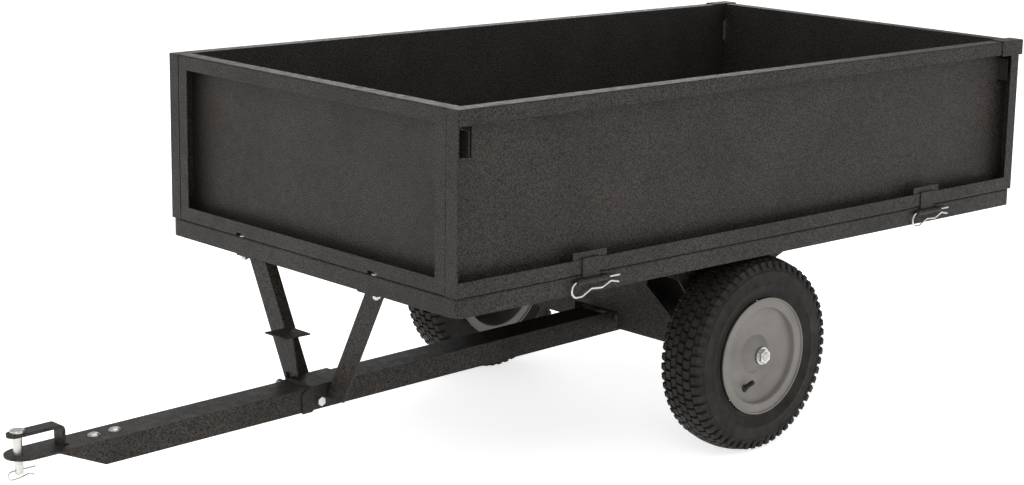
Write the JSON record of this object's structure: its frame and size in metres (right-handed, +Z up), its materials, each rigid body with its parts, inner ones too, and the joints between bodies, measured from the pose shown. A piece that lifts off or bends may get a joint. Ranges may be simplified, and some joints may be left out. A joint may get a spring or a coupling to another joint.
{
  "type": "tow behind cart",
  "caption": "Tow behind dump cart with a flat folded-sheet steel bed, fold-down sides, tilting bed on a drawbar with pin hitch, foot latch and pneumatic wheels.",
  "frame": {"origin": "centre of the overall box, on the ground under the tyres", "axes": "+X toward the tail (the hitch is at -X), +Z up, Y across; left is -Y, right is +Y"},
  "size_m": [2.2978, 0.924, 0.7879],
  "materials": {
    "black_paint": "black hammertone powder coat, satin",
    "grey_paint": "warm light grey paint, satin",
    "zinc": "bright zinc plate",
    "bare_steel": "drawn bar",
    "tyre_rubber": "matt black rubber",
    "black_rubber": "moulded rubber",
    "nylon": "moulded black nylon"
  },
  "bodies": {
    "drawbar": {"drawbar": "black_paint", "hitch_strap": "black_paint", "hitch_bolts": "zinc", "hitch_nuts": "zinc", "pivot_bushes": "nylon", "catch_bolt": "zinc", "catch_nut": "zinc"},
    "bed": {"floor_left": "black_paint", "floor_right": "black_paint", "seam_bolts": "zinc", "seam_nuts": "zinc", "panel_front": "black_paint", "panel_rear": "black_paint", "panel_bolts": "zinc", "panel_nuts": "zinc", "rail_eyes": "black_paint", "strut_left": "black_paint", "strut_right": "black_paint", "strut_bolts": "zinc", "strut_nuts": "zinc", "saddle": "black_paint", "latch_pivot": "zinc", "latch_spring": "zinc", "carrier_front": "black_paint", "carrier_rear": "black_paint", "side_plate_left": "black_paint", "side_plate_right": "black_paint", "carrier_cheeks": "black_paint", "carrier_bolts": "zinc", "carrier_nuts": "zinc", "axle": "bare_steel", "pivot_spacers": "bare_steel", "axle_washers": "zinc", "axle_nuts": "zinc"},
    "pedal": {"latch_pedal": "black_paint"},
    "hitch_pin": {"hitch_pin": "zinc"},
    "hitch_clip": {"hitch_clip": "zinc"},
    "wheel_left": {"tyre_left": "tyre_rubber", "rim_outer_left": "grey_paint", "rim_inner_left": "grey_paint", "hub_left": "grey_paint", "hub_bushes_left": "nylon", "valve_stem_left": "black_rubber"},
    "side_left": {"panel_left": "black_paint", "corner_cap_left": "black_paint", "hinge_tabs_left": "black_paint"},
    "clip_left_front": {"hinge_clip_left_front": "zinc"},
    "clip_left_rear": {"hinge_clip_left_rear": "zinc"},
    "wheel_right": {"tyre_right": "tyre_rubber", "rim_outer_right": "grey_paint", "rim_inner_right": "grey_paint", "hub_right": "grey_paint", "hub_bushes_right": "nylon", "valve_stem_right": "black_rubber"},
    "side_right": {"panel_right": "black_paint", "corner_cap_right": "black_paint", "hinge_tabs_right": "black_paint"},
    "clip_right_front": {"hinge_clip_right_front": "zinc"},
    "clip_right_rear": {"hinge_clip_right_rear": "zinc"}
  },
  "joints": [
    {"name": "bed_tilt", "type": "hinge", "parent": "drawbar", "child": "bed", "pos_m": [0.307, 0, 0.203], "axis": [0, 1, 0], "range_deg": [0, 27]},
    {"name": "pedal_press", "type": "hinge", "parent": "bed", "child": "pedal", "pos_m": [-0.52683, 0, 0.1859], "axis": [0, 1, 0], "range_deg": [0, 12], "stiffness_Nm_per_rad": 1, "springref_deg": -17.19},
    {"name": "pin_turn", "type": "hinge", "parent": "drawbar", "child": "hitch_pin", "pos_m": [-1.12505, 0, 0.18676], "axis": [-0.0253, 0, 0.9997], "continuous": true},
    {"name": "hitch_clip_slide", "type": "slide", "parent": "hitch_pin", "child": "hitch_clip", "axis": [-0.9997, 0, -0.0253], "range_m": [0, 0.052]},
    {"name": "wheel_spin_left", "type": "hinge", "parent": "bed", "child": "wheel_left", "pos_m": [0.307, -0.402, 0.203], "axis": [0, 1, 0], "continuous": true},
    {"name": "side_fold_left", "type": "hinge", "parent": "bed", "child": "side_left", "pos_m": [-0.183, -0.4545, 0.437], "axis": [1, 0, 0], "range_deg": [0, 90]},
    {"name": "clip_slide_left_front", "type": "slide", "parent": "bed", "child": "clip_left_front", "axis": [-1, 0, 0], "range_m": [0, 0.114]},
    {"name": "clip_slide_left_rear", "type": "slide", "parent": "bed", "child": "clip_left_rear", "axis": [-1, 0, 0], "range_m": [0, 0.114]},
    {"name": "wheel_spin_right", "type": "hinge", "parent": "bed", "child": "wheel_right", "pos_m": [0.307, 0.402, 0.203], "axis": [0, 1, 0], "continuous": true},
    {"name": "side_fold_right", "type": "hinge", "parent": "bed", "child": "side_right", "pos_m": [-0.183, 0.4545, 0.437], "axis": [-1, 0, 0], "range_deg": [0, 90]},
    {"name": "clip_slide_right_front", "type": "slide", "parent": "bed", "child": "clip_right_front", "axis": [-1, 0, 0], "range_m": [0, 0.114]},
    {"name": "clip_slide_right_rear", "type": "slide", "parent": "bed", "child": "clip_right_rear", "axis": [-1, 0, 0], "range_m": [0, 0.114]}
  ]
}
